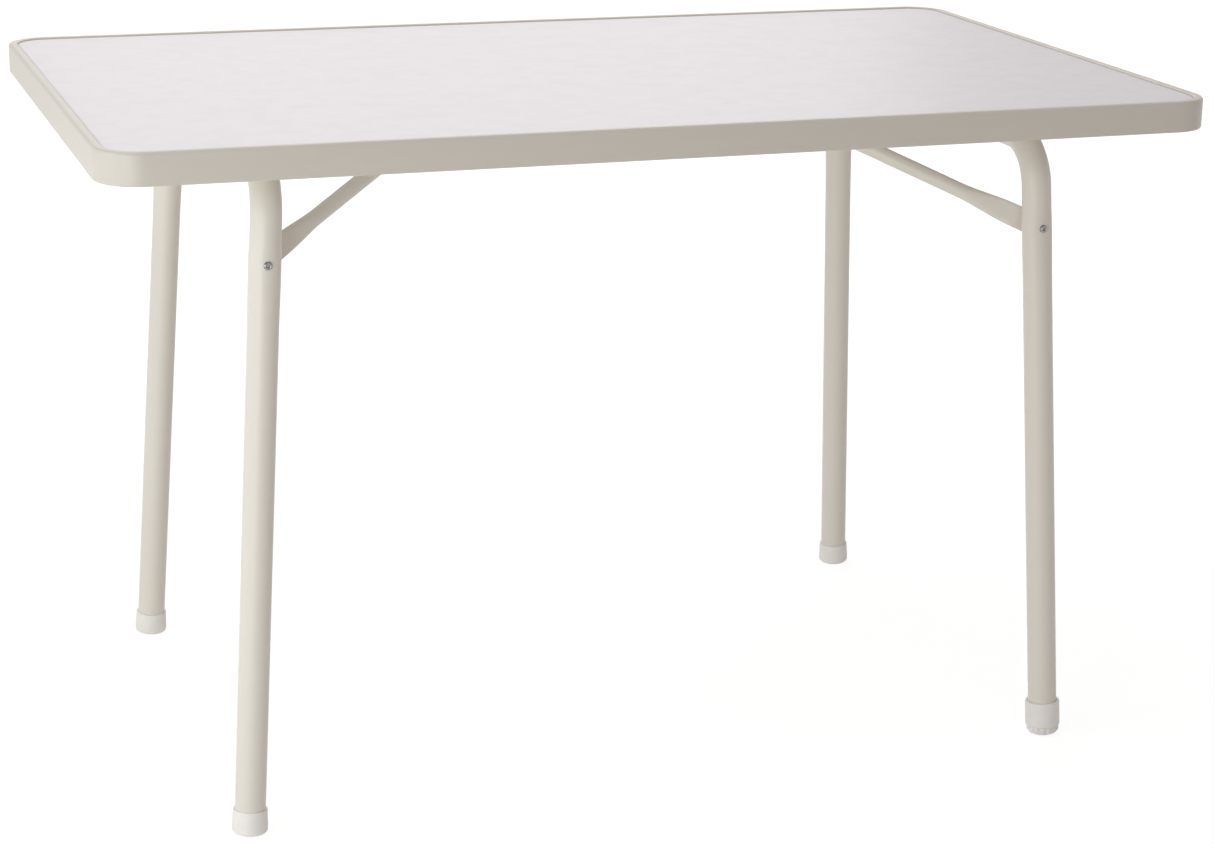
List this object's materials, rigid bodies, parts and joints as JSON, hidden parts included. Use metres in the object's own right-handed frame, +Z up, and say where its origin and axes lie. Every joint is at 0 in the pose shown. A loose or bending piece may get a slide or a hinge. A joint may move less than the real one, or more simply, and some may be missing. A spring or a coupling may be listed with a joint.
{
  "type": "folding table",
  "caption": "Rectangular folding table: moulded-edge top on tube leg frames that fold flat, braced by swinging stays, with a screw levelling foot.",
  "frame": {"origin": "on the floor under the middle of the top, at the bottom centre of the whole table standing open", "axes": "+X along the top towards the end with the levelling foot, +Y across to the rear long edge, +Z up"},
  "size_m": [1.15, 0.7, 0.71],
  "materials": {
    "tabletop_skin": "satin white moulded surface with a faint mottle",
    "fibre_core": "raw fibreboard, covered on all sides",
    "underside_sheet": "plain pale backing sheet",
    "edge_plastic": "satin cream moulded edge",
    "powder_coat": "cream powder-coated steel tube",
    "white_plastic": "white moulded plastic",
    "sole_rubber": "pale grey rubber",
    "rivet_steel": "bright nickel-plated steel",
    "screw_steel": "zinc-plated steel"
  },
  "bodies": {
    "top": {"top_skin": "tabletop_skin", "top_core": "fibre_core", "underside_sheet": "underside_sheet", "edge_rim": "edge_plastic", "left_front_bearing_base": "white_plastic", "left_rear_bearing_base": "white_plastic", "right_front_bearing_base": "white_plastic", "right_rear_bearing_base": "white_plastic", "left_front_bearing_clamp": "white_plastic", "left_rear_bearing_clamp": "white_plastic", "right_front_bearing_clamp": "white_plastic", "right_rear_bearing_clamp": "white_plastic", "left_bearing_screws": "screw_steel", "right_bearing_screws": "screw_steel", "left_stay_catch": "white_plastic", "right_stay_catch": "white_plastic", "stay_catch_screws": "screw_steel"},
    "left_leg_frame": {"left_leg_frame": "powder_coat", "left_front_rivet": "rivet_steel", "left_rear_rivet": "rivet_steel", "left_front_spacer": "white_plastic", "left_rear_spacer": "white_plastic", "left_front_foot_cap": "white_plastic", "left_rear_foot_cap": "white_plastic"},
    "right_leg_frame": {"right_leg_frame": "powder_coat", "right_front_rivet": "rivet_steel", "right_rear_rivet": "rivet_steel", "right_front_spacer": "white_plastic", "right_rear_spacer": "white_plastic", "right_rear_foot_cap": "white_plastic", "level_sleeve": "white_plastic"},
    "left_stay": {"left_stay": "powder_coat"},
    "right_stay": {"right_stay": "powder_coat"},
    "level_sole": {"level_sole_pad": "sole_rubber"},
    "level_adjuster": {"level_adjuster": "white_plastic"}
  },
  "joints": [
    {"name": "left_fold", "type": "hinge", "parent": "top", "child": "left_leg_frame", "pos_m": [-0.402, 0, 0.67], "axis": [0, -1, 0], "range_deg": [0, 93.4]},
    {"name": "right_fold", "type": "hinge", "parent": "top", "child": "right_leg_frame", "pos_m": [0.414, 0, 0.658], "axis": [0, 1, 0], "range_deg": [0, 88.8]},
    {"name": "left_stay_swing", "type": "hinge", "parent": "left_leg_frame", "child": "left_stay", "pos_m": [-0.40736, 0, 0.58016], "axis": [0, 1, 0], "range_deg": [0, 116]},
    {"name": "right_stay_swing", "type": "hinge", "parent": "right_leg_frame", "child": "right_stay", "pos_m": [0.41851, 0, 0.56811], "axis": [0, -1, 0], "range_deg": [0, 110]},
    {"name": "level_travel", "type": "slide", "parent": "right_leg_frame", "child": "level_sole", "axis": [0.05, -0.0534, -0.9973], "range_m": [0, 0.008]},
    {"name": "level_turn", "type": "hinge", "parent": "level_sole", "child": "level_adjuster", "pos_m": [0.447, -0.295, 0], "axis": [0.05, -0.0534, -0.9973], "range_deg": [0, 1530]}
  ],
  "couplings": [
    {"joint": "left_stay_swing", "follows": "left_fold", "ratio": 1.23},
    {"joint": "right_stay_swing", "follows": "right_fold", "ratio": 1.22},
    {"joint": "level_turn", "follows": "level_travel", "rad_per_m": 3141.6}
  ]
}
